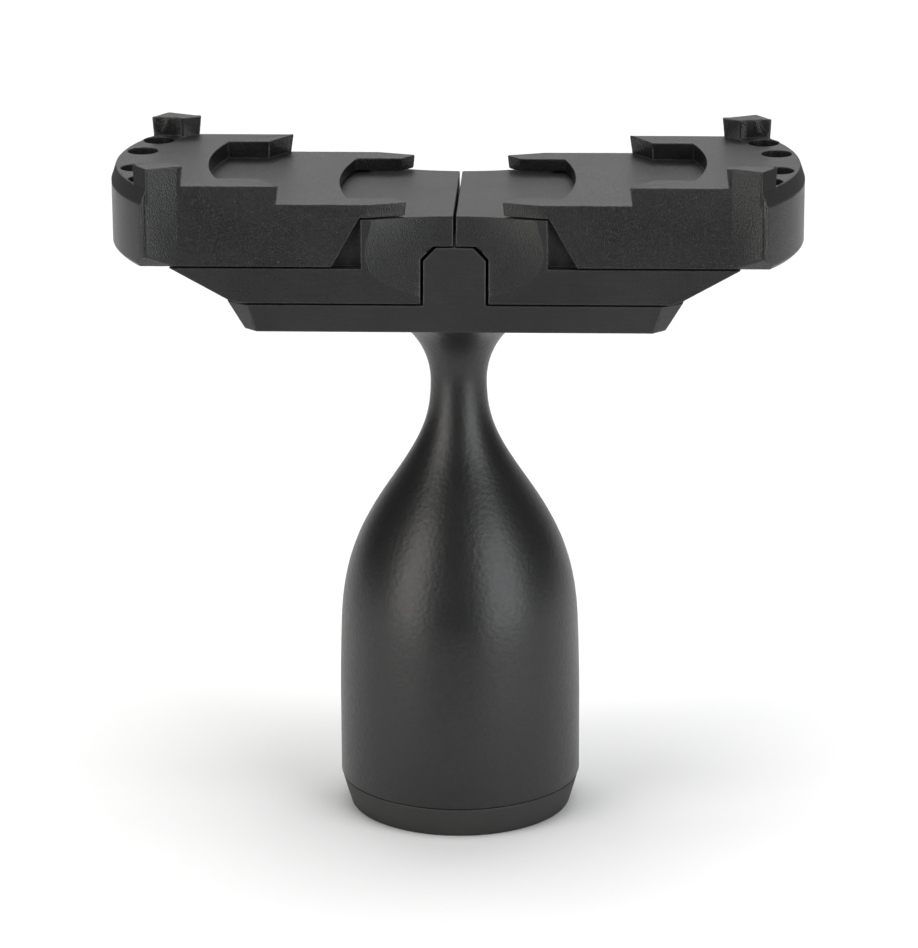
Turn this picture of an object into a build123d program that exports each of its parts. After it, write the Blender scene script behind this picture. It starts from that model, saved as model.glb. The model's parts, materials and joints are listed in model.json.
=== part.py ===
from build123d import *

import os
from math import sqrt

# Painting handle for miniatures: a weighted bottle-shaped grip that stands on a rubber foot,
# a head that turns on the neck, and on it a clamp that opens in two stages to each side.
# Millimetres. +Z is up, X runs along the rail, and the origin is the middle of the foot's underside.
# Every piece of one side is built on +X, and the left one is its mirror image.

# ---- levels of the head -------------------------------------------------------------------
RAIL_BOTTOM = 108.6
RAIL_TOP = 114.2
JAW_BOTTOM = 122.1
LEVEL_0 = 132.0            # top of the sliders
LEVEL_1 = 135.1            # first step of the jaws
LEVEL_2 = 138.8            # second step
POST_TOP = 142.8           # corner posts
KEY_SHOULDER = 123.1
KEY_TOP = 125.6
SLIDE_GAP = 0.3            # play between faces that slide

# ---- depths (half the size along Y) -------------------------------------------------------
HALF_DEPTH = 22.05         # front and back faces of the jaws
BEAM_HALF = 22.0           # lower beam of the sliders, and the rail
TOP_RAIL_HALF = 19.6       # the part of a slider that the jaw straddles
SKIRT_INNER = TOP_RAIL_HALF + SLIDE_GAP
FLARE_HALF = 24.8          # jaw corners

# ---- stations along the rail (distance from the middle) -----------------------------------
TRAVEL = 12.5              # outward travel of each slider, and of each jaw on its slider
KEY_HALF = 6.3
KEY_TOP_HALF = 3.8
SEAM_HALF = 0.25           # half the seam between the two sliders
KEY_GAP = 0.5              # room round the key that stands between the sliders
BLOCK_END = 18.75          # end of a slider's full-depth block
BLOCK_BOTTOM = 118.0       # inside the beam, which the block grows out of
WAIST_END = 17.2
TONGUE_TIP = 10.1
STEP_2 = 35.4              # where level 2 starts
FLARE_START = 55.5
FLARE_END = 61.55
RIDGE_END = 62.5
SLIDER_TIP = 57.4
SLOPE_START = 43.3         # the slider's sloped end, from its underside
SLOPE_BREAK = (45.6, 115.2)    # where the slope becomes flatter
TOP_RAIL_END = 56.0
JAW_END = 70.6

# ---- the hollow that waists the head's front and back between the jaws -----------------------
HOLLOW_HALF = 18.5         # half the head's depth at the seam, on level 0
HOLLOW_LEAN = 0.2          # what that half gains for each millimetre downwards
HOLLOW_ROWS = ((133.0, 38.0), (129.0, 52.0), (125.0, 78.0), (121.5, 105.0), (117.5, 105.0),
               (113.5, 105.0))     # height, and the hollow's radius there as seen from above
HOLLOW_OUTSIDE = 22.3      # clear of the faces that it is cut into

# ---- the jaws' outlines -------------------------------------------------------------------
END_RADIUS = 41.5          # rounded end, about a centre on the rail
BAND_BOTTOM = 135.8        # from here up to level 2 the end slants inwards
RIM_RADIUS = 40.5          # the end at level 2 and above it
BOTTOM_CHAMFER = 1.0
UNDERCUT = 6.0             # degrees by which the inner faces lean over a base's rim
ARC_1 = (21.8, 16.9, 24.4)     # corner x, corner y, deepest x
ARC_2 = (48.2, 15.9, 51.0)
SKIRT_TOP_X = 18.9         # slanted inner end of the skirts
SKIRT_BOTTOM_X = 24.65
HOLE_RADIUS = 3.1
HOLE_DEPTH = 8.0
HOLE_PLACES = ((62.55, 16.25), (65.0, 7.05))
HOLE_LAND = 0.9            # clear ring round a hole, which bites into the corner post
CORNER_DRAFT = 0.15        # how far a flared corner falls back at its outer ridge
TIP_HALF = 19.3            # tongue's outline, carried on inwards past its tip
TONGUE_1 = ((12.4, 17.0), (TONGUE_TIP, 19.4))          # inner outline of the lower tongues
TONGUE_2 = ((39.8, 16.0), (STEP_2, HALF_DEPTH))        # and of the upper ones
POST_INNER = ((54.6, 21.2), (57.9, 19.6), (59.2, 20.3))  # inner outline of a corner post

# ---- rail -------------------------------------------------------------------------------
RAIL_TOP_OUTLINE = ((41.8, BEAM_HALF), (46.0, 18.6), (47.2, 8.0))
RAIL_BOTTOM_OUTLINE = ((39.9, BEAM_HALF), (42.4, 19.6), (43.4, 8.4))
COVER_THICK = 1.2
COVER_HALF_X = 40.6
COVER_HALF_Y = 17.4
CAVITY_TOP = 112.4
CAVITY_HALF_Y = 11.0
CAVITY_END = 41.1
CAVITY_START = 7.8
SLOT_HALF = 7.0
SLOT_START = 8.0
SLOT_END = 40.1
COVER_SCREW = (36.0, 14.4)
HUB_RADIUS = 6.0

# ---- slider foot and keeper -----------------------------------------------------------------
BOSS_HALF = 6.85
BOSS_START = 8.2
BOSS_END = SLOT_END - TRAVEL - 0.1
KEEPER_HALF_Y = 10.7
KEEPER_BOTTOM = 110.3
KEEPER_TOP = 112.25
KEEPER_SCREW_X = 18.0
KEEPER_SCREW_Y = 4.85
KEEPER_SCREW_TOP = 117.5

# ---- springs ----------------------------------------------------------------------------
SPRING_MEAN_RADIUS = 2.0
SPRING_WIRE = 0.6
RAIL_SPRING_Z = 114.75
RAIL_SPRING_SPAN = (10.2, SLOT_END - 0.1)
RAIL_GROOVE_END = 41.5
SPRING_GROOVE_HALF = 2.6
JAW_SPRING_Z = 129.6
JAW_SPRING_SPAN = (26.8, 53.9)
JAW_GROOVE = (24.2, 54.0)
SPRING_TURNS = 10

# ---- jaw guides and stops -------------------------------------------------------------------
PEG = (24.7, 26.7)
PEG_HALF = 2.3
SIDE_GROOVE_START = 28.5
SIDE_GROOVE = (124.5, 126.7)
SIDE_GROOVE_DEPTH = 1.5
RIB_START = 30.0
STOP_SCREW = (40.0, 10.0)
STOP_SCREW_RADIUS = 1.25
STOP_SCREW_TOP = 133.3
STOP_SLOT_HALF = 1.5
STOP_SLOT_TOP = 133.7
STOP_HEAD = (114.9, 116.7)
STOP_HEAD_RADIUS = 2.3

# ---- grip -------------------------------------------------------------------------------
FOOT_HEIGHT = 6.6
SHELL_BOTTOM = 6.75
GRIP_RADIUS = 25.17        # straight lower part of the grip
GRIP_STRAIGHT_TOP = 24.0
GRIP_OUTER = ((24.95, 36.0), (24.06, 48.0), (21.25, 58.0), (15.85, 68.0), (10.05, 77.0),
              (6.62, 85.0))
GRIP_INNER = ((22.5, 20.0), (22.3, 35.0), (21.3, 48.0), (18.3, 58.0), (12.8, 68.0), (7.1, 77.0))
WAIST_RADIUS = 5.82        # thinnest place of the neck
WAIST_Z = 92.3
FLANGE_RADIUS = 17.5
FLANGE_TOP = 108.3
FLANGE_EDGE = 0.6
NECK_BORE = 3.7
NECK_FLOOR = 104.6
SHELL_INNER = 22.5

GRIP_CHAMFER = 0.3         # at the grip's lower edge

# ---- foot ring ----------------------------------------------------------------------------
FOOT_INNER = 19.5
FOOT_OUTLINE = ((22.8, 0.0), (23.25, 0.35), (24.95, 6.4), (24.75, FOOT_HEIGHT))

# ---- pieces inside the grip -----------------------------------------------------------------
STACK_GAP = 0.1            # between plug, weight and bosses
PLUG_FLANGE_RADIUS = 22.2
PLUG_DISC_RADIUS = 19.2
PLUG_BOTTOM = 1.2
PLUG_TOP = 9.0
WEIGHT_RADIUS = 21.8
WEIGHT_HEIGHT = 12.0
PLUG_SCREW_PCD_RADIUS = 15.5
PLUG_SCREW_COUNT = 3
PLUG_SCREW_RADIUS = 1.5
PLUG_SCREW_HEAD_RADIUS = 2.8
PLUG_SCREW_HEAD = (1.6, 3.5)
SCREW_BOSS_RADIUS = 3.4
SCREW_RIB_HALF = 1.0
BOSS_TOP = 38.0
WASHER_INNER = 7.0
WASHER_OUTER = 12.5
WASHER_FLOOR = 107.5

# ---- screws and swivel ------------------------------------------------------------------
SHOULDER_RADIUS = 2.4
SHOULDER_TOP = 109.9
SWIVEL_THREAD_RADIUS = 2.0
SWIVEL_TIP = 119.0
SWIVEL_HEAD = (100.6, 103.4)
SWIVEL_HEAD_RADIUS = 3.4
INSERT_RADIUS = 2.98
INSERT_SPAN = (110.0, 120.0)
SMALL_SCREW_RADIUS = 0.95
SMALL_HEAD_RADIUS = 1.7
SMALL_HEAD_HEIGHT = 0.65
SMALL_CROSS = (0.9, 0.4)       # reach and depth of a small screw's cross recess
HEX_RADIUS = 1.7           # hexagon socket of the swivel screw
HEX_DEPTH = 1.8
FIT = 0.05                 # radial play round pins and screws


def box(x0, x1, y0, y1, z0, z1):
    """A box between two corners."""
    lowest = (Align.MIN, Align.MIN, Align.MIN)
    return Pos(x0, y0, z0) * Box(x1 - x0, y1 - y0, z1 - z0, align=lowest)


def rod(radius, z0, z1, x=0.0, y=0.0):
    """An upright cylinder."""
    upright = (Align.CENTER, Align.CENTER, Align.MIN)
    return Pos(x, y, z0) * Cylinder(radius, z1 - z0, align=upright)


def turned(points):
    """A solid of revolution about Z from a closed (radius, z) outline."""
    profile = Plane.XZ * make_face(Polyline(*points, close=True))
    return revolve(profile, axis=Axis.Z)


def prism_y(points, half):
    """An outline in X and Z carried from -half to +half along Y."""
    profile = Plane.XZ * make_face(Polyline(*points, close=True))
    return extrude(profile, amount=half, both=True)


def plate(points, z0, z1, taper=0.0):
    """An outline in X and Y carried upwards; a positive taper narrows it on the way up."""
    profile = Pos(0, 0, z0) * make_face(Polyline(*points, close=True))
    return extrude(profile, amount=z1 - z0, taper=taper)


def both_faces(quarter):
    """A list of points with y > 0, continued by its mirror image at y < 0."""
    return list(quarter) + [(x, -y) for x, y in reversed(quarter)]


def flip_y(solid):
    return mirror(solid, about=Plane.XZ)


def head_hollow():
    """What the hollows take off the front and back of the sliders and the key."""
    sections = []
    for z, radius in HOLLOW_ROWS:
        nearest = HOLLOW_HALF + HOLLOW_LEAN * (LEVEL_0 - z)
        rise = HOLLOW_OUTSIDE - nearest
        half = sqrt(2 * radius * rise - rise * rise)
        curve = ThreePointArc((-half, HOLLOW_OUTSIDE), (0, nearest), (half, HOLLOW_OUTSIDE))
        chord = Line((half, HOLLOW_OUTSIDE), (-half, HOLLOW_OUTSIDE))
        sections.append(Pos(0, 0, z) * make_face(curve + chord))
    back = loft(sections)
    return back + flip_y(back)


# ---- grip ---------------------------------------------------------------------------------

def grip_shell():
    """Bottle-shaped shell with a trumpet neck, a flange under the rail and three screw bosses."""
    side = Polyline((GRIP_RADIUS - GRIP_CHAMFER, SHELL_BOTTOM),
                    (GRIP_RADIUS, SHELL_BOTTOM + GRIP_CHAMFER), (GRIP_RADIUS, GRIP_STRAIGHT_TOP))
    flank = Spline((GRIP_RADIUS, GRIP_STRAIGHT_TOP), *GRIP_OUTER, (WAIST_RADIUS, WAIST_Z),
                   tangents=((0, 1), (0, 1)))
    trumpet = TangentArc((WAIST_RADIUS, WAIST_Z), (FLANGE_RADIUS, FLANGE_TOP - FLANGE_EDGE),
                         tangent=(0, 1))
    cap = Polyline((FLANGE_RADIUS, FLANGE_TOP - FLANGE_EDGE), (FLANGE_RADIUS, FLANGE_TOP),
                   (0, FLANGE_TOP), (0, SHELL_BOTTOM), (GRIP_RADIUS - GRIP_CHAMFER, SHELL_BOTTOM))
    outside = revolve(Plane.XZ * make_face(side + flank + trumpet + cap), axis=Axis.Z)
    wall = Spline((SHELL_INNER, 18.0), *GRIP_INNER, (NECK_BORE, 87.0), tangents=((0, 1), (0, 1)))
    rest = Polyline((NECK_BORE, 87.0), (NECK_BORE, NECK_FLOOR), (0, NECK_FLOOR), (0, 0),
                    (SHELL_INNER, 0), (SHELL_INNER, 18.0))
    inside = revolve(Plane.XZ * make_face(wall + rest), axis=Axis.Z)
    shell = outside - inside
    for boss in plug_screw_places():
        shell += screw_boss(boss)
    shell -= rod(SHOULDER_RADIUS + FIT, NECK_FLOOR - 1, FLANGE_TOP + 1)
    recess = rod(WASHER_OUTER + 0.1, WASHER_FLOOR, FLANGE_TOP + 1)
    recess -= rod(WASHER_INNER - 0.1, WASHER_FLOOR, FLANGE_TOP + 1)
    shell -= recess
    return shell


def plug_screw_places():
    """Angles of the three plug screws."""
    return [90.0 + i * 360.0 / PLUG_SCREW_COUNT for i in range(PLUG_SCREW_COUNT)]


def screw_boss(angle):
    """A boss for a plug screw, joined to the shell's wall by a rib."""
    bottom = PLUG_TOP + WEIGHT_HEIGHT + 2 * STACK_GAP
    boss = rod(SCREW_BOSS_RADIUS, bottom, BOSS_TOP, x=PLUG_SCREW_PCD_RADIUS)
    boss += box(PLUG_SCREW_PCD_RADIUS, SHELL_INNER + 0.8, -SCREW_RIB_HALF, SCREW_RIB_HALF,
                bottom, BOSS_TOP)
    boss -= rod(PLUG_SCREW_RADIUS + FIT, bottom, BOSS_TOP - 1.0, x=PLUG_SCREW_PCD_RADIUS)
    return Rot(0, 0, angle) * boss


def foot_ring():
    """Soft ring that the grip stands on, tapered to the floor."""
    return turned([(FOOT_INNER, 0.0), *FOOT_OUTLINE, (FOOT_INNER, FOOT_HEIGHT)])


def base_plug():
    """Plate inside the foot ring that closes the grip."""
    outline = [(0, PLUG_BOTTOM), (PLUG_DISC_RADIUS, PLUG_BOTTOM), (PLUG_DISC_RADIUS, SHELL_BOTTOM),
               (PLUG_FLANGE_RADIUS, SHELL_BOTTOM), (PLUG_FLANGE_RADIUS, PLUG_TOP), (0, PLUG_TOP)]
    plug = turned(outline)
    for angle in plug_screw_places():
        hole = rod(PLUG_SCREW_RADIUS + FIT, 0, PLUG_TOP + 1, x=PLUG_SCREW_PCD_RADIUS)
        hole += rod(PLUG_SCREW_HEAD_RADIUS + 0.2, 0, PLUG_SCREW_HEAD[1] + 0.1,
                    x=PLUG_SCREW_PCD_RADIUS)
        plug -= Rot(0, 0, angle) * hole
    return plug


def base_weight():
    """Steel disc on top of the plug."""
    bottom = PLUG_TOP + STACK_GAP
    top = bottom + WEIGHT_HEIGHT
    weight = rod(WEIGHT_RADIUS, bottom, top)
    for angle in plug_screw_places():
        hole = rod(PLUG_SCREW_RADIUS + 0.2, bottom - 1, top + 1, x=PLUG_SCREW_PCD_RADIUS)
        weight -= Rot(0, 0, angle) * hole
    return weight


def plug_screws():
    """Three long screws through plug and weight into the shell's bosses."""
    screw = rod(PLUG_SCREW_HEAD_RADIUS, *PLUG_SCREW_HEAD)
    screw += rod(PLUG_SCREW_RADIUS, PLUG_SCREW_HEAD[1], BOSS_TOP - 2.0)
    screw -= cross_recess(PLUG_SCREW_HEAD[0], 1.1, 1.0)
    screw = Pos(PLUG_SCREW_PCD_RADIUS, 0, 0) * screw
    return [Rot(0, 0, angle) * screw for angle in plug_screw_places()]


def cross_recess(z_face, half, depth):
    """A cross drive that opens downwards at z_face."""
    arm = 0.28 * half
    slot = box(-half, half, -arm, arm, z_face - 0.1, z_face + depth)
    return slot + box(-arm, arm, -half, half, z_face - 0.1, z_face + depth)


def swivel_washer():
    """Flat friction ring between the flange and the rail."""
    top = RAIL_BOTTOM - FIT
    return rod(WASHER_OUTER, WASHER_FLOOR, top) - rod(WASHER_INNER, WASHER_FLOOR, top)


# ---- head ---------------------------------------------------------------------------------

def rail_base():
    """Boat-ended cross rail with its key, slots for the sliders and a cavity below them."""
    top = both_faces(RAIL_TOP_OUTLINE)
    top += [(-x, y) for x, y in reversed(top)]
    bottom = both_faces(RAIL_BOTTOM_OUTLINE)
    bottom += [(-x, y) for x, y in reversed(bottom)]
    upper = Pos(0, 0, RAIL_TOP) * make_face(Polyline(*top, close=True))
    lower = Pos(0, 0, RAIL_BOTTOM) * make_face(Polyline(*bottom, close=True))
    rail = loft([lower, upper], ruled=True)
    key = [(-KEY_HALF, RAIL_TOP - 1), (KEY_HALF, RAIL_TOP - 1), (KEY_HALF, KEY_SHOULDER),
           (KEY_TOP_HALF, KEY_TOP), (-KEY_TOP_HALF, KEY_TOP), (-KEY_HALF, KEY_SHOULDER)]
    rail += prism_y(key, BEAM_HALF)
    rail -= head_hollow()
    rail -= rail_hollow()
    return rail


def rail_hollow():
    """What is taken out of the rail: slots, cavities, the cover's seat and the screw holes."""
    seat_top = RAIL_BOTTOM + COVER_THICK
    hollow = box(-COVER_HALF_X - 0.1, COVER_HALF_X + 0.1, -COVER_HALF_Y - 0.1, COVER_HALF_Y + 0.1,
                 RAIL_BOTTOM - 1, seat_top)
    hollow -= rod(HUB_RADIUS, RAIL_BOTTOM - 1, seat_top)
    for way in (-1, 1):
        x0, x1 = sorted((way * CAVITY_START, way * CAVITY_END))
        hollow += box(x0, x1, -CAVITY_HALF_Y, CAVITY_HALF_Y, seat_top - 0.1, CAVITY_TOP)
        x0, x1 = sorted((way * SLOT_START, way * SLOT_END))
        hollow += box(x0, x1, -SLOT_HALF, SLOT_HALF, seat_top - 0.1, RAIL_TOP + 1)
        for y in (-COVER_SCREW[1], COVER_SCREW[1]):
            hollow += rod(SMALL_SCREW_RADIUS + FIT, RAIL_BOTTOM, RAIL_TOP - 0.8,
                          x=way * COVER_SCREW[0], y=y)
    hollow += rod(INSERT_RADIUS + 0.02, RAIL_BOTTOM - 1, INSERT_SPAN[1] + 0.2)
    return hollow


def rail_cover():
    """Thin plate that closes the rail from below, with a hole for the hub."""
    top = RAIL_BOTTOM + COVER_THICK - 0.05
    cover = box(-COVER_HALF_X, COVER_HALF_X, -COVER_HALF_Y, COVER_HALF_Y, RAIL_BOTTOM, top)
    cover -= rod(HUB_RADIUS + 0.1, RAIL_BOTTOM - 1, top + 1)
    for x in (-COVER_SCREW[0], COVER_SCREW[0]):
        for y in (-COVER_SCREW[1], COVER_SCREW[1]):
            cover -= rod(SMALL_SCREW_RADIUS + FIT, RAIL_BOTTOM - 1, top + 1, x=x, y=y)
            cover -= rod(SMALL_HEAD_RADIUS + FIT, RAIL_BOTTOM - 1, RAIL_BOTTOM + 0.75, x=x, y=y)
    return cover


def rail_cover_screws():
    """Four small screws that hold the cover."""
    face = RAIL_BOTTOM + 0.05
    screw = rod(SMALL_HEAD_RADIUS, face, face + SMALL_HEAD_HEIGHT)
    screw += rod(SMALL_SCREW_RADIUS, face + SMALL_HEAD_HEIGHT, RAIL_TOP - 1.0)
    screw -= cross_recess(face, *SMALL_CROSS)
    return [Pos(x, y, 0) * screw for x in (-COVER_SCREW[0], COVER_SCREW[0])
            for y in (-COVER_SCREW[1], COVER_SCREW[1])]


def rail_insert():
    """Brass sleeve in the rail that takes the swivel screw."""
    insert = rod(INSERT_RADIUS, *INSERT_SPAN)
    return insert - rod(SWIVEL_THREAD_RADIUS + FIT, INSERT_SPAN[0] - 1, INSERT_SPAN[1] + 1)


def swivel_screw():
    """Shoulder screw up through the neck: the head turns with it."""
    screw = rod(SWIVEL_HEAD_RADIUS, *SWIVEL_HEAD)
    screw += rod(SHOULDER_RADIUS, SWIVEL_HEAD[1], SHOULDER_TOP)
    screw += rod(SWIVEL_THREAD_RADIUS, SHOULDER_TOP, SWIVEL_TIP)
    hexagon = Pos(0, 0, SWIVEL_HEAD[0] - 0.5) * RegularPolygon(HEX_RADIUS, 6)
    return screw - extrude(hexagon, amount=HEX_DEPTH + 0.5)


def swivel_spring_washer():
    """Dished washer between the screw's head and the neck's floor."""
    low = SWIVEL_HEAD[1] + FIT
    outline = [(SHOULDER_RADIUS + 0.1, low), (SHOULDER_RADIUS + 0.7, low), (3.55, low + 0.6),
               (3.55, NECK_FLOOR - FIT), (3.1, NECK_FLOOR - FIT), (SHOULDER_RADIUS + 0.1, low + 0.6)]
    return turned(outline)


def coil(span, z_axis):
    """Compression spring along X."""
    wire = SPRING_WIRE / 2
    length = span[1] - span[0] - SPRING_WIRE
    line = Helix(pitch=length / SPRING_TURNS, height=length, radius=SPRING_MEAN_RADIUS)
    section = Plane(origin=line @ 0, z_dir=line % 0) * Circle(wire)
    spring = sweep(section, path=line, is_frenet=True)
    return Pos(span[0] + wire, 0, z_axis) * Rot(0, 90, 0) * spring


# ---- slider -------------------------------------------------------------------------------

def slider():
    """Middle stage: sloped beam, full-depth block at the seam, top rail, foot boss and grooves."""
    low = RAIL_TOP + SLIDE_GAP
    high = JAW_BOTTOM - SLIDE_GAP
    start = KEY_HALF + KEY_GAP
    beam = [(start, low), (SLOPE_START, low), SLOPE_BREAK, (SLIDER_TIP, high), (start, high)]
    body = prism_y(beam, BEAM_HALF)
    body += box(SEAM_HALF, BLOCK_END, -BEAM_HALF, BEAM_HALF, BLOCK_BOTTOM, LEVEL_0)
    body += box(BLOCK_END - 1, TOP_RAIL_END, -TOP_RAIL_HALF, TOP_RAIL_HALF, JAW_BOTTOM - 0.5, LEVEL_0)
    body -= head_hollow()
    body -= key_notch()
    body += box(BOSS_START, BOSS_END, -BOSS_HALF, BOSS_HALF, KEEPER_TOP, RAIL_TOP + 1)
    body -= slider_grooves()
    return body


def key_notch():
    """Room for the rail's key at the slider's inner end."""
    half = KEY_HALF + KEY_GAP
    top_half = KEY_TOP_HALF + KEY_GAP
    notch = [(-1, RAIL_BOTTOM), (half, RAIL_BOTTOM), (half, KEY_SHOULDER + SLIDE_GAP),
             (top_half, KEY_TOP + SLIDE_GAP), (-1, KEY_TOP + SLIDE_GAP)]
    return prism_y(notch, BEAM_HALF + 1)


def slider_grooves():
    """Spring grooves, side grooves for the jaw's ribs, and screw holes."""
    spring_top = RAIL_SPRING_Z + SPRING_GROOVE_HALF
    cut = box(RAIL_SPRING_SPAN[0] - 0.1, RAIL_GROOVE_END, -SPRING_GROOVE_HALF, SPRING_GROOVE_HALF,
              KEEPER_TOP - 1, spring_top)
    cut += box(*JAW_GROOVE, -SPRING_GROOVE_HALF, SPRING_GROOVE_HALF,
               JAW_SPRING_Z - SPRING_GROOVE_HALF, LEVEL_0 + 1)
    inner = TOP_RAIL_HALF - SIDE_GROOVE_DEPTH
    for way in (-1, 1):
        y0, y1 = sorted((way * inner, way * (TOP_RAIL_HALF + 1)))
        cut += box(SIDE_GROOVE_START, TOP_RAIL_END + 1, y0, y1, *SIDE_GROOVE)
        y = way * STOP_SCREW[1]
        cut += rod(STOP_SCREW_RADIUS + FIT, RAIL_TOP, LEVEL_0 + 1, x=STOP_SCREW[0], y=y)
        cut += rod(STOP_HEAD_RADIUS + FIT, RAIL_TOP, STOP_HEAD[1] + 0.05, x=STOP_SCREW[0], y=y)
        cut += rod(SMALL_SCREW_RADIUS + FIT, KEEPER_TOP - 1, KEEPER_SCREW_TOP + 0.5, x=KEEPER_SCREW_X,
                   y=way * KEEPER_SCREW_Y)
    return cut


def keeper():
    """Plate under the rail's slot that holds the slider down."""
    body = box(BOSS_START, BOSS_END, -KEEPER_HALF_Y, KEEPER_HALF_Y, KEEPER_BOTTOM, KEEPER_TOP)
    for y in (-KEEPER_SCREW_Y, KEEPER_SCREW_Y):
        body -= rod(SMALL_SCREW_RADIUS + FIT, KEEPER_BOTTOM - 1, KEEPER_TOP + 1,
                    x=KEEPER_SCREW_X, y=y)
        body -= rod(SMALL_HEAD_RADIUS + FIT, KEEPER_BOTTOM - 1, KEEPER_BOTTOM + 0.8,
                    x=KEEPER_SCREW_X, y=y)
    return body


def keeper_screws():
    """Two screws up through the keeper into the slider's boss."""
    face = KEEPER_BOTTOM + 0.1
    screw = rod(SMALL_HEAD_RADIUS, face, face + SMALL_HEAD_HEIGHT)
    screw += rod(SMALL_SCREW_RADIUS, face + SMALL_HEAD_HEIGHT, KEEPER_SCREW_TOP)
    screw -= cross_recess(face, *SMALL_CROSS)
    return [Pos(KEEPER_SCREW_X, y, 0) * screw for y in (-KEEPER_SCREW_Y, KEEPER_SCREW_Y)]


def jaw_stop_screws():
    """Two screws up through the slider whose tips run in slots under the jaw."""
    screw = rod(STOP_HEAD_RADIUS, *STOP_HEAD) + rod(STOP_SCREW_RADIUS, STOP_HEAD[1], STOP_SCREW_TOP)
    screw -= cross_recess(STOP_HEAD[0], 1.2, 0.9)
    return [Pos(STOP_SCREW[0], y, 0) * screw for y in (-STOP_SCREW[1], STOP_SCREW[1])]


# ---- jaw ----------------------------------------------------------------------------------

def jaw_outline(z):
    """Plan of a jaw with its waisted tongues, flared corners and rounded end."""
    ridge_half = FLARE_HALF - CORNER_DRAFT
    quarter = [(TONGUE_TIP - 2, TIP_HALF), (WAIST_END, HALF_DEPTH), (FLARE_START, HALF_DEPTH),
               (FLARE_END, FLARE_HALF), (RIDGE_END, ridge_half)]
    sides = Polyline(*reversed(quarter), *[(x, -y) for x, y in quarter])
    end = ThreePointArc((RIDGE_END, -ridge_half), (JAW_END, 0), (RIDGE_END, ridge_half))
    return Pos(0, 0, z) * make_face(sides + end)


def step_cutter(arc, tips, z0, z1):
    """The space above a step, which widens downwards so that its walls lean over a base's rim."""
    corner_x, corner_y, deepest = arc
    side = Polyline((corner_x, corner_y), *tips, (tips[-1][0], 40), (-20, 40), (-20, -40),
                    (tips[-1][0], -40), *[(x, -y) for x, y in reversed(tips)],
                    (corner_x, -corner_y))
    curve = ThreePointArc((corner_x, -corner_y), (deepest, 0), (corner_x, corner_y))
    floor = Pos(0, 0, z0) * make_face(side + curve)
    return extrude(floor, amount=z1 - z0 + 1, taper=UNDERCUT)


def jaw_channel():
    """The hollow that takes the slider, with slots for the tips of the stop screws."""
    ceiling = LEVEL_0 + SLIDE_GAP
    hollow = box(-5, TOP_RAIL_END + 0.3, -SKIRT_INNER, SKIRT_INNER, JAW_BOTTOM - 1, ceiling)
    slant = [(-5, JAW_BOTTOM - 1), (SKIRT_BOTTOM_X + 0.55, JAW_BOTTOM - 1),
             (SKIRT_TOP_X, ceiling), (-5, ceiling)]
    hollow += prism_y(slant, FLARE_HALF + 1)
    for y in (-STOP_SCREW[1], STOP_SCREW[1]):
        hollow += box(STOP_SCREW[0] - TRAVEL - STOP_SCREW_RADIUS - 0.1,
                      STOP_SCREW[0] + STOP_SCREW_RADIUS + 0.2,
                      y - STOP_SLOT_HALF, y + STOP_SLOT_HALF, JAW_BOTTOM, STOP_SLOT_TOP)
    return hollow


def corner_post(outline):
    """The thin post at a jaw's back corner; its inner faces lean like the steps."""
    region = [(POST_INNER[0][0], 40), *POST_INNER, (80, POST_INNER[-1][1]), (80, 40)]
    lean = plate(region, LEVEL_2, POST_TOP + 0.001, taper=-UNDERCUT)
    return extrude(outline, amount=POST_TOP - LEVEL_2) & lean


def jaw():
    """Outer stage: stepped top, skirts astride the slider, rounded end with holes, four posts."""
    body = extrude(jaw_outline(JAW_BOTTOM), amount=LEVEL_2 - JAW_BOTTOM)
    body -= jaw_channel()
    body -= step_cutter(ARC_1, TONGUE_1, LEVEL_0 - 1, LEVEL_1)
    body -= step_cutter(ARC_2, TONGUE_2, LEVEL_1, LEVEL_2)
    post = corner_post(jaw_outline(LEVEL_2))
    body += post
    body += flip_y(post)
    body -= band_cutter()
    body -= flare_cutters()
    foot = body.edges().filter_by(GeomType.CIRCLE).filter_by_position(Axis.Z, JAW_BOTTOM - 0.01,
                                                                     JAW_BOTTOM + 0.01)
    body = chamfer([edge for edge in foot if edge.radius > HOLE_RADIUS * 4], BOTTOM_CHAMFER)
    body += jaw_guides()
    for x, y in HOLE_PLACES:
        for way in (-1, 1):
            body -= rod(HOLE_RADIUS, LEVEL_2 - HOLE_DEPTH, LEVEL_2 + 1, x=x, y=way * y)
            body -= rod(HOLE_RADIUS + HOLE_LAND, LEVEL_2, POST_TOP + 1, x=x, y=way * y)
    return body


def band_cutter():
    """Everything outside the slanting band, and outside the posts' end faces above it."""
    centre = JAW_END - END_RADIUS
    outside = box(FLARE_START, JAW_END + 5, -FLARE_HALF - 1, FLARE_HALF + 1, BAND_BOTTOM - 0.3,
                  POST_TOP + 1)
    slope = (END_RADIUS - RIM_RADIUS) / (LEVEL_2 - BAND_BOTTOM)
    upright = (Align.CENTER, Align.CENTER, Align.MIN)
    start = BAND_BOTTOM - 1
    band = Cone(END_RADIUS + slope, RIM_RADIUS, LEVEL_2 - start, align=upright)
    return outside - Pos(centre, 0, start) * band - rod(RIM_RADIUS, LEVEL_2, POST_TOP + 2, x=centre)


def flare_cutters():
    """45 degree chamfers that bring the flared corners back to the flat faces at the bottom."""
    wedge = Rot(45, 0, 0) * Box(60, 20, 20, align=(Align.CENTER, Align.MIN, Align.MAX))
    cutter = Pos(FLARE_START, HALF_DEPTH, JAW_BOTTOM) * wedge
    return cutter + flip_y(cutter)


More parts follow.
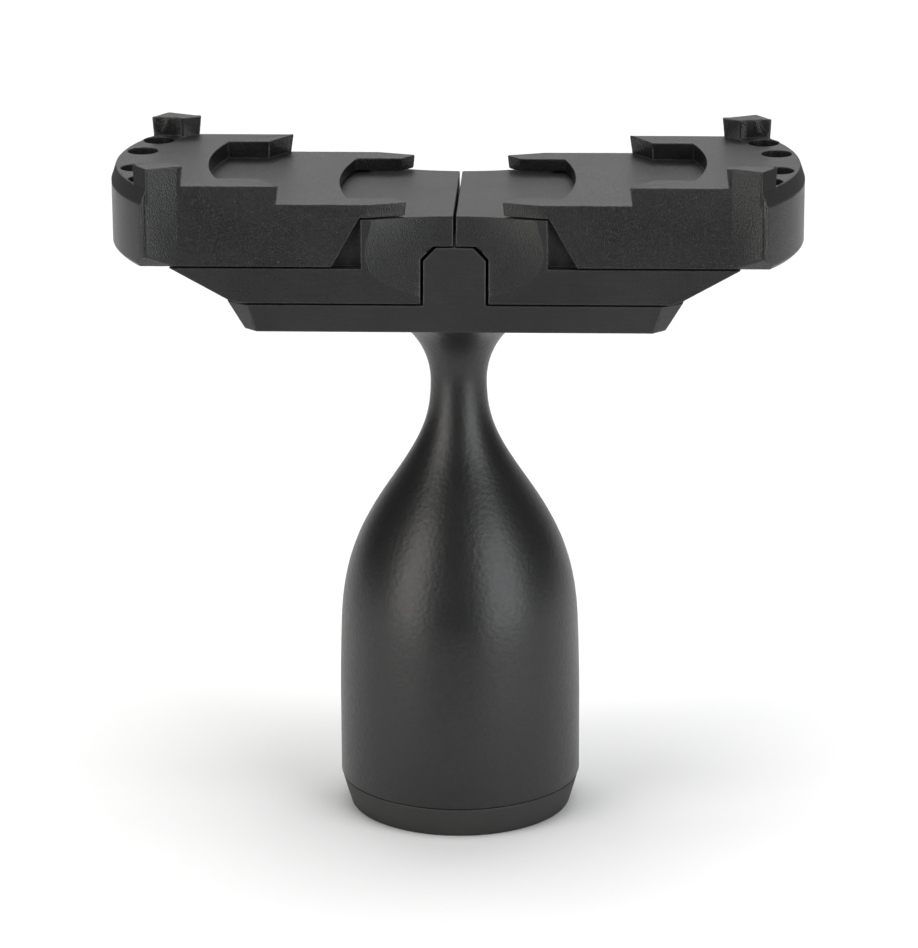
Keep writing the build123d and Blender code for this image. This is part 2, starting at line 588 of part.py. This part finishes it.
def jaw_guides():
    """Ribs that run in the slider's side grooves, and the peg that pushes the spring."""
    low = SIDE_GROOVE[0] + 0.2
    high = SIDE_GROOVE[1] - 0.2
    inner = TOP_RAIL_HALF - SIDE_GROOVE_DEPTH + 0.25
    guides = box(*PEG, -PEG_HALF, PEG_HALF, JAW_SPRING_Z - PEG_HALF, LEVEL_0 + SLIDE_GAP + 0.5)
    for way in (-1, 1):
        y0, y1 = sorted((way * inner, way * (SKIRT_INNER + 0.5)))
        guides += box(RIB_START, TOP_RAIL_END + 0.8, y0, y1, low, high)
    return guides


# ---- writing ------------------------------------------------------------------------------

def left(shape):
    """The mirror image of a right-hand piece or of a list of pieces."""
    if isinstance(shape, list):
        return [mirror(piece, about=Plane.YZ) for piece in shape]
    return mirror(shape, about=Plane.YZ)


def write(name, shape):
    """One STEP file per node; a list becomes a group of separate solids."""
    pieces = shape if isinstance(shape, list) else [shape]
    solids = [solid for piece in pieces for solid in piece.solids()]
    export_step(Compound(children=solids) if len(solids) > 1 else solids[0], f"parts/{name}.step")


def main():
    os.makedirs("parts", exist_ok=True)
    middle = {
        "grip_shell": grip_shell(), "foot_ring": foot_ring(), "base_plug": base_plug(),
        "base_weight": base_weight(), "plug_screws": plug_screws(),
        "swivel_washer": swivel_washer(), "rail_base": rail_base(), "rail_cover": rail_cover(),
        "rail_cover_screws": rail_cover_screws(), "rail_insert": rail_insert(),
        "swivel_screw": swivel_screw(), "swivel_spring_washer": swivel_spring_washer(),
    }
    per_side = {
        "slider": slider(), "keeper": keeper(), "keeper_screws": keeper_screws(),
        "jaw_stop_screws": jaw_stop_screws(), "jaw": jaw(),
        "rail_spring": coil(RAIL_SPRING_SPAN, RAIL_SPRING_Z),
        "jaw_spring": coil(JAW_SPRING_SPAN, JAW_SPRING_Z),
    }
    for name, shape in middle.items():
        write(name, shape)
    for name, shape in per_side.items():
        write(f"right_{name}", shape)
        write(f"left_{name}", left(shape))


main()
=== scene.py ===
import json
import math

import bmesh
import bpy
import numpy as np
from mathutils import Matrix, Vector


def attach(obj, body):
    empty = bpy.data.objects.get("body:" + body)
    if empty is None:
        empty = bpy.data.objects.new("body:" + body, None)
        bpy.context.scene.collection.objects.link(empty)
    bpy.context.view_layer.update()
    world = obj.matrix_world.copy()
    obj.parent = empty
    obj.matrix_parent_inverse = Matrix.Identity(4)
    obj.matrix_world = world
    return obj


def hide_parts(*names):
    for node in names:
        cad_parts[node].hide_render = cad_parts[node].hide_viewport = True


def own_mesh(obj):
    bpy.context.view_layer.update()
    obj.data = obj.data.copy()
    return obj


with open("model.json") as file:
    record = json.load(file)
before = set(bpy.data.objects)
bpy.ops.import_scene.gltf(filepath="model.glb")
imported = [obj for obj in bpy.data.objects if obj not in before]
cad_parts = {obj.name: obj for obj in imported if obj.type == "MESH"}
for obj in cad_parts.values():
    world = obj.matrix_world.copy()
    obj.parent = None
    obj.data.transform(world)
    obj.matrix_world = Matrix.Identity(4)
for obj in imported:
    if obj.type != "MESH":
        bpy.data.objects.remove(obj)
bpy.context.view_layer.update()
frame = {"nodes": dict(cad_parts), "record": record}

# A painting handle for miniatures: weighted grip on a rubber foot, turning head, two-stage clamp.
# Metres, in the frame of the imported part: +Z up, X along the rail, -Y towards the viewer.

MM = 0.001
SIDES = (("left", -1), ("right", 1))

# ---- grip and foot: the outlines that the turned pieces follow (millimetres) ---------------
GRIP_BOTTOM = 6.75
GRIP_RADIUS = 25.16
GRIP_STRAIGHT_TOP = 24.0
GRIP_FLANK = ((24.95, 36.0), (24.06, 48.0), (21.25, 58.0), (15.85, 68.0), (10.05, 77.0),
              (6.62, 85.0))
GRIP_WALL = ((22.5, 18.0), (22.3, 35.0), (21.3, 48.0), (18.3, 58.0), (12.8, 68.0), (7.1, 77.0),
             (3.7, 87.0), (3.7, 104.6))
WAIST = (5.82, 92.3)
FLANGE_RADIUS = 17.5
FLANGE_LOW = 107.7
FLANGE_TOP = 108.3
SCREW_HOLE = 2.45
FOOT_TOP = 6.6
FOOT_INNER = 19.5
TURNED_STEPS = 192
FLANK_STEPS = 110
TRUMPET_STEPS = 40
CORNER_STEPS = 4

# ---- springs (millimetres) -------------------------------------------------------------------
COIL_RADIUS = 2.0
WIRE_RADIUS = 0.3
COIL_TURNS = 11.0
CLOSED_TURNS = 1.0         # turns that touch, at each end
TURN_STEPS = 26
WIRE_STEPS = 10
# span along X, height, and the share of its length that is left when the slide is out
RAIL_COIL = ((10.2, 40.0), 114.75, 0.58)
JAW_COIL = ((26.8, 53.9), 129.6, 0.54)

# ---- moulded pieces ------------------------------------------------------------------------
WELD = 0.002 * MM
EDGE_ROUND = 0.28 * MM
EDGE_STEPS = 3
JOIN_BELOW = math.radians(0.2)     # faces that meet at less than this become one
ROUNDED_FROM = math.radians(30)    # edges at least this sharp are rounded
CREASE_FROM = math.radians(1.5)    # weaker ones down to this stay as a crease


# ---- mesh helpers --------------------------------------------------------------------------

def piece(name, bm, body, material, crease=None):
    """A finished mesh that rides on a CAD body; edges above crease degrees stay hard."""
    mesh = bpy.data.meshes.new(name)
    bm.normal_update()
    for face in bm.faces:
        face.smooth = True
    bm.to_mesh(mesh)
    bm.free()
    obj = bpy.data.objects.new(name, mesh)
    bpy.context.scene.collection.objects.link(obj)
    if crease is not None:
        mesh.set_sharp_from_angle(angle=math.radians(crease))
    mesh.materials.append(material)
    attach(obj, body)
    return obj


def clamped_spline(points, first, last, steps):
    """Points of a smooth curve through (r, z) points, with given directions at its ends."""
    knots = np.array(points, float)
    gaps = np.linalg.norm(np.diff(knots, axis=0), axis=1)
    at = np.concatenate([[0], np.cumsum(gaps)])
    count = len(knots)
    system = np.zeros((count, count))
    right = np.zeros((count, 2))
    system[0, 0] = system[-1, -1] = 1
    right[0] = np.array(first) / np.linalg.norm(first)
    right[-1] = np.array(last) / np.linalg.norm(last)
    for i in range(1, count - 1):
        before, after = gaps[i - 1], gaps[i]
        system[i, i - 1:i + 2] = (after, 2 * (before + after), before)
        right[i] = 3 * (after * (knots[i] - knots[i - 1]) / before
                        + before * (knots[i + 1] - knots[i]) / after)
    slopes = np.linalg.solve(system, right)
    curve = []
    for t in np.linspace(0, at[-1], steps):
        i = min(int(np.searchsorted(at, t, side="right")) - 1, count - 2)
        u = (t - at[i]) / gaps[i]
        ends = (2 * u**3 - 3 * u**2 + 1) * knots[i] + (3 * u**2 - 2 * u**3) * knots[i + 1]
        leans = (u**3 - 2 * u**2 + u) * slopes[i] + (u**3 - u**2) * slopes[i + 1]
        curve.append(tuple(ends + gaps[i] * leans))
    return curve


def corner(r, z, radius, start, end):
    """A rounded corner: an arc about (r, z) between two angles in degrees."""
    angles = [math.radians(start + (end - start) * i / CORNER_STEPS)
              for i in range(CORNER_STEPS + 1)]
    return [(r + radius * math.cos(a), z + radius * math.sin(a)) for a in angles]


def lathe(outline):
    """A closed solid of revolution about Z from a closed (r, z) outline in millimetres."""
    bm = bmesh.new()
    rings = []
    for r, z in outline:
        ring = []
        for i in range(TURNED_STEPS):
            angle = 2 * math.pi * i / TURNED_STEPS
            ring.append(bm.verts.new((r * MM * math.cos(angle), r * MM * math.sin(angle), z * MM)))
        rings.append(ring)
    for low, high in zip(rings, rings[1:] + rings[:1]):
        for i in range(TURNED_STEPS):
            j = (i + 1) % TURNED_STEPS
            bm.faces.new((low[i], low[j], high[j], high[i]))
    bmesh.ops.recalc_face_normals(bm, faces=bm.faces)
    return bm


def rounded_copy(node):
    """The CAD piece with its flat faces joined up and its sharp outer edges rounded."""
    bm = bmesh.new()
    bm.from_mesh(frame["nodes"][node].data)
    for edge in bm.edges:
        edge.seam = edge.is_boundary
    bmesh.ops.remove_doubles(bm, verts=bm.verts, dist=WELD)
    bmesh.ops.dissolve_limit(bm, angle_limit=JOIN_BELOW, verts=bm.verts, edges=bm.edges,
                             delimit={"SEAM"})
    split_many_sided(bm)
    edges = [e for e in bm.edges if e.seam and len(e.link_faces) == 2]
    for edge in edges:
        edge.smooth = edge.calc_face_angle(0) < CREASE_FROM
    rounded = [e for e in edges if e.is_convex and e.calc_face_angle(0) > ROUNDED_FROM]
    for edge in rounded:
        edge.smooth = True
    bmesh.ops.bevel(bm, geom=rounded, offset=EDGE_ROUND, offset_type="OFFSET",
                    segments=EDGE_STEPS, profile=0.5, affect="EDGES", clamp_overlap=False,
                    loop_slide=False)
    split_many_sided(bm)
    bmesh.ops.recalc_face_normals(bm, faces=bm.faces)
    return bm


def split_many_sided(bm):
    """Triangles in place of faces with many corners, whose outlines may be hollow."""
    many_sided = [face for face in bm.faces if len(face.verts) > 4]
    bmesh.ops.triangulate(bm, faces=many_sided, quad_method="BEAUTY", ngon_method="BEAUTY")


# ---- materials -----------------------------------------------------------------------------

class Nodes:
    """Short calls for building a node tree."""

    def __init__(self, name):
        self.material = bpy.data.materials.new(name)
        self.material.use_nodes = True
        self.tree = self.material.node_tree
        self.shader = self.tree.nodes["Principled BSDF"]
        self.place = self.tree.nodes.new("ShaderNodeTexCoord").outputs["Object"]

    def link(self, output, target):
        self.tree.links.new(output, target)

    def noise(self, scale, detail=2.0, roughness=0.5, stretch=None):
        node = self.tree.nodes.new("ShaderNodeTexNoise")
        node.inputs["Scale"].default_value = scale
        node.inputs["Detail"].default_value = detail
        node.inputs["Roughness"].default_value = roughness
        if stretch is None:
            self.link(self.place, node.inputs["Vector"])
        else:
            mapping = self.tree.nodes.new("ShaderNodeMapping")
            mapping.inputs["Scale"].default_value = stretch
            self.link(self.place, mapping.inputs["Vector"])
            self.link(mapping.outputs["Vector"], node.inputs["Vector"])
        return node.outputs["Fac"]

    def cells(self, scale, feature="F1"):
        node = self.tree.nodes.new("ShaderNodeTexVoronoi")
        node.feature = feature
        node.inputs["Scale"].default_value = scale
        self.link(self.place, node.inputs["Vector"])
        return node.outputs["Distance"]

    def spread(self, value, low, high, to_low=0.0, to_high=1.0):
        node = self.tree.nodes.new("ShaderNodeMapRange")
        for name, number in (("From Min", low), ("From Max", high), ("To Min", to_low),
                             ("To Max", to_high)):
            node.inputs[name].default_value = number
        self.link(value, node.inputs["Value"])
        return node.outputs["Result"]

    def sum(self, first, second, operation="ADD"):
        node = self.tree.nodes.new("ShaderNodeMath")
        node.operation = operation
        for socket, value in zip(node.inputs, (first, second)):
            if isinstance(value, (int, float)):
                socket.default_value = value
            else:
                self.link(value, socket)
        return node.outputs[0]

    def blend(self, factor, dark, light):
        node = self.tree.nodes.new("ShaderNodeMix")
        node.data_type = "RGBA"
        for socket, colour in ((node.inputs["A"], dark), (node.inputs["B"], light)):
            if isinstance(colour, tuple):
                socket.default_value = (*colour, 1)
            else:
                self.link(colour, socket)
        self.link(factor, node.inputs["Factor"])
        return node.outputs["Result"]

    def bump(self, height, distance, after=None):
        node = self.tree.nodes.new("ShaderNodeBump")
        node.inputs["Distance"].default_value = distance
        node.inputs["Strength"].default_value = 1.0
        self.link(height, node.inputs["Height"])
        if after is not None:
            self.link(after, node.inputs["Normal"])
        return node.outputs["Normal"]

    def edge(self, radius):
        """1 on edges, where wear and a painted highlight go, 0 on the faces: how far the rounded
        normal leaves the true one.
        """
        rounded = self.tree.nodes.new("ShaderNodeBevel")
        rounded.samples = 4
        rounded.inputs["Radius"].default_value = radius
        true = self.tree.nodes.new("ShaderNodeNewGeometry")
        dot = self.tree.nodes.new("ShaderNodeVectorMath")
        dot.operation = "DOT_PRODUCT"
        self.link(rounded.outputs["Normal"], dot.inputs[0])
        self.link(true.outputs["Normal"], dot.inputs[1])
        return self.spread(dot.outputs["Value"], 0.99, 0.8, 0.0, 1.0)

    def use(self, **sockets):
        for name, value in sockets.items():
            socket = self.shader.inputs[name.replace("_", " ")]
            if isinstance(value, (int, float, tuple)):
                socket.default_value = value
            else:
                self.link(value, socket)
        return self.material


def grained_plastic(name, dark, light, rough, grain, depth, worn_and_highlight=0.0, streaks=0.0,
                    dull_and_painted_shade=None):
    """Moulded plastic with a spark-eroded grain, slow changes of tone, lighter edges that are
    partly wear and partly painted highlight, and an optional band that is rougher, with less grain
    and darkened as painted shade.
    """
    n = Nodes(name)
    cloud = n.noise(55.0, 3.0)
    speck = n.noise(1.0 / grain, 2.0, 0.6)
    pits = n.cells(0.75 / grain)
    tone = n.sum(n.spread(cloud, 0.3, 0.7, -0.12, 0.12), n.spread(speck, 0.33, 0.67))
    if streaks:
        drawn = n.noise(1.0 / grain, 3.0, 0.6, (0.02, 1.0, 1.0))
        tone = n.sum(tone, n.spread(drawn, 0.35, 0.65, -streaks, streaks))
    gloss = n.sum(n.spread(cloud, 0.3, 0.7, rough - 0.04, rough + 0.04),
                  n.spread(speck, 0.3, 0.7, 0.09, -0.09))
    relief = 1.0
    if dull_and_painted_shade is not None:
        grained_outside_painted_shade = n.sum(1.0, dull_and_painted_shade_places(n, *dull_and_painted_shade), "SUBTRACT")
        # painted shade: in the band the colour is pushed to the darkest tone; the band is also
        # made rougher and given less grain
        tone = n.sum(tone, n.spread(grained_outside_painted_shade, 0.0, 1.0, -0.9, 0.0))
        gloss = n.sum(gloss, n.spread(grained_outside_painted_shade, 0.0, 1.0, 0.45, 0.0))
        relief = n.spread(grained_outside_painted_shade, 0.0, 1.0, 0.12, 1.0)
    fine = n.bump(n.sum(speck, relief, "MULTIPLY"), depth * MM)
    relief = n.bump(n.sum(pits, relief, "MULTIPLY"), depth * 0.8 * MM, after=fine)
    colour = n.blend(tone, dark, light)
    # edges lightened: partly wear, partly painted highlight standing in for the light that the
    # rounded edges catch
    if worn_and_highlight:
        rubbed_and_highlit = n.sum(n.edge(0.35 * MM), n.spread(cloud, 0.3, 0.7, 0.6, 1.0), "MULTIPLY")
        colour = n.blend(rubbed_and_highlit, colour, (worn_and_highlight, worn_and_highlight, worn_and_highlight * 1.02))
    return n.use(Base_Color=colour, Roughness=gloss, Normal=relief, Specular_IOR_Level=0.4)


def dull_and_painted_shade_places(n, low, from_middle):
    """1 on upright faces above a height and beyond a distance from the middle, 0 elsewhere; these
    places get painted shade and a rougher finish.
    """
    split = n.tree.nodes.new("ShaderNodeSeparateXYZ")
    n.link(n.place, split.inputs["Vector"])
    facing = n.tree.nodes.new("ShaderNodeSeparateXYZ")
    true = n.tree.nodes.new("ShaderNodeNewGeometry")
    n.link(true.outputs["True Normal"], facing.inputs["Vector"])
    high = n.spread(split.outputs["Z"], low - 0.35 * MM, low + 0.25 * MM)
    out = n.spread(n.sum(split.outputs["X"], 0.0, "ABSOLUTE"), from_middle - 0.1 * MM,
                   from_middle + 0.1 * MM)
    sideways = n.spread(n.sum(facing.outputs["X"], 0.0, "ABSOLUTE"), 0.3, 0.45)
    upright = n.spread(n.sum(facing.outputs["Z"], 0.0, "ABSOLUTE"), 0.6, 0.5)
    return n.sum(n.sum(high, out, "MULTIPLY"), n.sum(sideways, upright, "MULTIPLY"), "MULTIPLY")


def leathery_plastic(name, dark, light, rough):
    """Satin plastic with a fine leather grain: soft cells with low ridges between them."""
    n = Nodes(name)
    cloud = n.noise(40.0, 3.0)
    cells = n.cells(1150.0, "SMOOTH_F1")
    ridge = n.noise(900.0, 3.0, 0.55)
    fine = n.noise(3800.0, 1.0)
    colour = n.blend(n.sum(n.spread(cloud, 0.3, 0.7, 0.0, 0.5), n.spread(ridge, 0.3, 0.7, 0, 0.5)),
                     dark, light)
    gloss = n.sum(n.spread(cloud, 0.3, 0.7, rough - 0.03, rough + 0.03),
                  n.spread(ridge, 0.3, 0.7, 0.03, -0.03))
    soft = n.bump(cells, 0.035 * MM)
    mid = n.bump(ridge, 0.035 * MM, after=soft)
    relief = n.bump(fine, 0.006 * MM, after=mid)
    return n.use(Base_Color=colour, Roughness=gloss, Normal=relief, Specular_IOR_Level=0.45)


def rubber(name):
    """Matt rubber with a dusty bloom."""
    n = Nodes(name)
    cloud = n.noise(70.0, 4.0)
    dust = n.noise(2400.0, 2.0, 0.7)
    colour = n.blend(n.sum(n.spread(cloud, 0.3, 0.7, 0, 0.5), n.spread(dust, 0.4, 0.7, 0, 0.5)),
                     (0.012, 0.0118, 0.0113), (0.021, 0.0205, 0.0195))
    relief = n.bump(dust, 0.02 * MM)
    return n.use(Base_Color=colour, Roughness=n.spread(cloud, 0.3, 0.7, 0.56, 0.66), Normal=relief)


def metal(name, dark, light, rough):
    """Plated or drawn metal with fine lines and a slow change of tone."""
    n = Nodes(name)
    cloud = n.noise(180.0, 3.0)
    lines = n.noise(900.0, 2.0, 0.6, (0.15, 0.15, 4.0))
    colour = n.blend(n.spread(cloud, 0.3, 0.7), dark, light)
    return n.use(Base_Color=colour, Metallic=1.0, Normal=n.bump(lines, 0.004 * MM),
                 Roughness=n.spread(cloud, 0.3, 0.7, rough - 0.07, rough + 0.07))


MATERIALS = {
    "grip_plastic": leathery_plastic("grip_plastic", (0.006, 0.006, 0.0062),
                                     (0.012, 0.012, 0.0122), 0.38),
    "foot_rubber": rubber("foot_rubber"),
    # the jaws: a band below the rim at their ends gets painted shade and a rougher finish
    "jaw_plastic": grained_plastic("jaw_plastic", (0.003, 0.003, 0.0031), (0.013, 0.013, 0.0132),
                                   0.34, 0.25 * MM, 0.08, worn_and_highlight=0.12,
                                   dull_and_painted_shade=(135.6 * MM, 61.0 * MM)),
    "slider_plastic": grained_plastic("slider_plastic", (0.007, 0.007, 0.0072),
                                      (0.015, 0.015, 0.0153), 0.42, 0.25 * MM, 0.05, worn_and_highlight=0.1,
                                      streaks=0.25),
    "rail_plastic": grained_plastic("rail_plastic", (0.01, 0.01, 0.0102),
                                    (0.019, 0.019, 0.0194), 0.44, 0.22 * MM, 0.03, worn_and_highlight=0.1,
                                    streaks=0.2),
    "inner_plastic": grained_plastic("inner_plastic", (0.03, 0.03, 0.03), (0.05, 0.05, 0.05), 0.5,
                                     0.3 * MM, 0.02),
    "washer_plastic": grained_plastic("washer_plastic", (0.6, 0.59, 0.55), (0.76, 0.75, 0.71),
                                      0.4, 0.4 * MM, 0.01),
    "steel": metal("steel", (0.45, 0.45, 0.46), (0.6, 0.6, 0.61), 0.3),
    "spring_steel": metal("spring_steel", (0.38, 0.38, 0.39), (0.52, 0.52, 0.53), 0.27),
    "brass": metal("brass", (0.62, 0.44, 0.16), (0.78, 0.58, 0.26), 0.28),
}
slot_of = {part["node"]: part["material_slot"] for part in frame["record"]["subparts"]}
for node, obj in frame["nodes"].items():
    obj.material_slots[0].material = MATERIALS[slot_of[node]]


# ---- turned pieces -------------------------------------------------------------------------

def grip():
    """The bottle-shaped grip: outer skin, flange, neck bore and inner wall."""
    outside = corner(GRIP_RADIUS - 0.35, GRIP_BOTTOM + 0.35, 0.35, -90, 0)
    outside += clamped_spline([(GRIP_RADIUS, GRIP_STRAIGHT_TOP), *GRIP_FLANK, WAIST],
                              (0, 1), (0, 1), FLANK_STEPS)
    rise = FLANGE_LOW - WAIST[1]
    run = FLANGE_RADIUS - WAIST[0]
    radius = (rise * rise + run * run) / (2 * run)
    turn = math.asin(rise / radius)
    for i in range(1, TRUMPET_STEPS + 1):
        angle = turn * i / TRUMPET_STEPS
        outside.append((WAIST[0] + radius * (1 - math.cos(angle)),
                        WAIST[1] + radius * math.sin(angle)))
    outside += corner(FLANGE_RADIUS - 0.25, FLANGE_TOP - 0.25, 0.25, 0, 90)
    inside = [(SCREW_HOLE, FLANGE_TOP), (SCREW_HOLE, GRIP_WALL[-1][1])]
    inside += list(reversed(GRIP_WALL))
    inside += [(GRIP_WALL[0][0], GRIP_BOTTOM)]
    obj = piece("grip_body", lathe(outside + inside), "handle",
                MATERIALS["grip_plastic"], crease=30)
    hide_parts("grip_shell")


def foot():
    """The rubber ring under the grip, with a soft lower edge and a lip at the seam."""
    outline = [(FOOT_INNER, 0.0), (22.6, 0.0)]
    outline += corner(22.75, 0.45, 0.45, -70, -15)
    outline += [(23.6, 1.7), (24.25, 3.9), (24.8, 5.9)]
    outline += corner(24.6, FOOT_TOP - 0.28, 0.28, 10, 90)
    outline += [(FOOT_INNER, FOOT_TOP)]
    obj = piece("foot_rubber_ring", lathe(outline), "handle",
                MATERIALS["foot_rubber"], crease=30)
    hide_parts("foot_ring")


# ---- moulded pieces of the head ------------------------------------------------------------

def moulded(node, body):
    """A moulding whose flat faces shade flat and whose rounded edges shade round."""
    slot = slot_of[node]
    obj = piece(f"{node}_moulding", rounded_copy(node), body, MATERIALS[slot])
    flat = obj.modifiers.new("flat_faces", "WEIGHTED_NORMAL")
    flat.keep_sharp = True
    flat.weight = 100
    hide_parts(node)


# ---- springs -------------------------------------------------------------------------------

def along_coil(turn, start, end):
    """How far along X a coil between start and end has come after some turns."""
    share = (turn - CLOSED_TURNS) / (COIL_TURNS - 2 * CLOSED_TURNS)
    open_share = min(max(share, 0.0), 1.0)
    pressed = min(turn, CLOSED_TURNS) + max(turn - (COIL_TURNS - CLOSED_TURNS), 0.0)
    free = end - start - 4 * WIRE_RADIUS * CLOSED_TURNS
    return start + pressed * 2 * WIRE_RADIUS + open_share * free


def spring(name, node, body, joint, side, span, z_axis, keep):
    """A compression coil along X with closed ends."""
    bm = bmesh.new()
    rings = []
    for i in range(int(COIL_TURNS * TURN_STEPS) + 1):
        turn = i / TURN_STEPS
        x = along_coil(turn, span[0] + WIRE_RADIUS, span[1] - WIRE_RADIUS)
        angle = 2 * math.pi * turn
        out = Vector((0, math.cos(angle), math.sin(angle)))
        ring = []
        for k in range(WIRE_STEPS):
            phase = 2 * math.pi * k / WIRE_STEPS
            point = out * (COIL_RADIUS + WIRE_RADIUS * math.cos(phase))
            point += Vector((x + WIRE_RADIUS * math.sin(phase), 0, 0))
            ring.append(bm.verts.new((side * point.x * MM, point.y * MM, (point.z + z_axis) * MM)))
        rings.append(ring)
    for low, high in zip(rings, rings[1:]):
        for k in range(WIRE_STEPS):
            m = (k + 1) % WIRE_STEPS
            bm.faces.new((low[k], low[m], high[m], high[k]))
    bm.faces.new(rings[0])
    bm.faces.new(rings[-1])
    bmesh.ops.recalc_face_normals(bm, faces=bm.faces)
    obj = piece(name, bm, body, MATERIALS["spring_steel"], crease=60)
    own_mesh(obj)
    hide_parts(node)


grip()
foot()
moulded("rail_base", "head")
for side, way in SIDES:
    moulded(f"{side}_slider", f"{side}_stage")
    moulded(f"{side}_jaw", f"{side}_clamp")
    spring(f"{side}_rail_coil", f"{side}_rail_spring", "head", f"{side}_stage_slide", way,
           *RAIL_COIL)
    spring(f"{side}_jaw_coil", f"{side}_jaw_spring", f"{side}_stage", f"{side}_clamp_slide", way,
           *JAW_COIL)


# ---- floor, light and camera ---------------------------------------------------------------

FLOOR_HALF = 1.5
FLOOR_FRONT = 0.22         # the white paper ends this far in front, where the room is dark
ROOM_SEEN = 1.1            # the room's brightness where the camera sees it
CAMERA_PLACE = (0.0344, -0.9172, 0.3673)
CAMERA_TURN = (-2.15, -17.85, -0.258)      # yaw, pitch and roll in degrees
CAMERA_LENS = 176.04


def floor():
    """Pale paper that the object stands on."""
    bm = bmesh.new()
    bmesh.ops.create_grid(bm, x_segments=8, y_segments=8, size=FLOOR_HALF)
    bmesh.ops.translate(bm, verts=bm.verts, vec=(0, FLOOR_HALF - FLOOR_FRONT, 0))
    mesh = bpy.data.meshes.new("floor")
    bm.to_mesh(mesh)
    bm.free()
    obj = bpy.data.objects.new("floor", mesh)
    bpy.context.scene.collection.objects.link(obj)
    n = Nodes("floor_paper")
    tone = n.noise(9.0, 2.0)
    mesh.materials.append(n.use(Base_Color=n.blend(tone, (0.73, 0.73, 0.73), (0.76, 0.76, 0.76)),
                                Roughness=0.9, Specular_IOR_Level=0.1))


def softbox(name, azimuth, elevation, distance, size, power, colour, aim=(0, 0, 0.07)):
    """A rectangular lamp that looks at the object; azimuth 0 is the viewer's side."""
    a, e = math.radians(azimuth), math.radians(elevation)
    place = Vector((math.sin(a) * math.cos(e), -math.cos(a) * math.cos(e), math.sin(e))) * distance
    lamp = bpy.data.lights.new(name, "AREA")
    lamp.shape = "RECTANGLE"
    lamp.size, lamp.size_y = size
    lamp.energy = power
    lamp.color = colour
    obj = bpy.data.objects.new(name, lamp)
    obj.location = Vector(aim) + place
    obj.rotation_euler = (-place).to_track_quat("-Z", "Y").to_euler()
    obj.visible_camera = False
    bpy.context.scene.collection.objects.link(obj)


def surroundings():
    """White room: bright behind the object, dim at its sides and on the viewer's side."""
    world = bpy.data.worlds.new("room")
    bpy.context.scene.world = world
    world.use_nodes = True
    tree = world.node_tree
    back = tree.nodes["Background"]
    coords = tree.nodes.new("ShaderNodeTexCoord")
    split = tree.nodes.new("ShaderNodeSeparateXYZ")
    ramp = tree.nodes.new("ShaderNodeMapRange")
    ramp.interpolation_type = "SMOOTHSTEP"
    for name, number in (("From Min", 0.62), ("From Max", 0.9), ("To Min", 0.03),
                         ("To Max", 0.56)):
        ramp.inputs[name].default_value = number
    path = tree.nodes.new("ShaderNodeLightPath")
    mix = tree.nodes.new("ShaderNodeMix")
    mix.inputs["B"].default_value = ROOM_SEEN
    tree.links.new(coords.outputs["Generated"], split.inputs["Vector"])
    tree.links.new(split.outputs["Y"], ramp.inputs["Value"])
    tree.links.new(ramp.outputs["Result"], mix.inputs["A"])
    tree.links.new(path.outputs["Is Camera Ray"], mix.inputs["Factor"])
    tree.links.new(mix.outputs["Result"], back.inputs["Strength"])
    back.inputs["Color"].default_value = (1, 1, 1, 1)


def camera():
    """A long lens, a little left of the middle and above, looking slightly down."""
    data = bpy.data.cameras.new("camera")
    data.sensor_width = 36.0
    data.lens = CAMERA_LENS
    data.clip_start = 0.05
    yaw, pitch, roll = (math.radians(angle) for angle in CAMERA_TURN)
    ahead = Vector((math.sin(yaw) * math.cos(pitch), math.cos(yaw) * math.cos(pitch),
                    math.sin(pitch)))
    level = Vector((math.cos(yaw), -math.sin(yaw), 0))
    upright = level.cross(ahead)
    right = math.cos(roll) * level + math.sin(roll) * upright
    up = -math.sin(roll) * level + math.cos(roll) * upright
    obj = bpy.data.objects.new("camera", data)
    turn = Matrix((right, up, -ahead)).transposed().to_4x4()
    obj.matrix_world = Matrix.Translation(CAMERA_PLACE) @ turn
    bpy.context.scene.collection.objects.link(obj)
    bpy.context.scene.camera = obj


floor()
surroundings()
# azimuth, elevation, distance, size, power and colour; then the point it looks at
softbox("left_box", -49, 8, 0.6, (0.36, 0.75), 3.4, (1.0, 0.985, 0.95), aim=(0, 0, 0.11))
softbox("right_box", 48, 8, 0.6, (0.46, 0.75), 4.2, (0.97, 0.985, 1.0), aim=(0, 0, 0.11))
softbox("top_box", 0, 90, 1.2, (0.8, 0.8), 12.0, (1.0, 1.0, 1.0))
softbox("back_box", 180, 90, 1.0, (2.0, 0.9), 16.0, (1.0, 1.0, 1.0), aim=(0, 0.95, 0))
camera()
bpy.context.scene.view_settings.view_transform = "Standard"
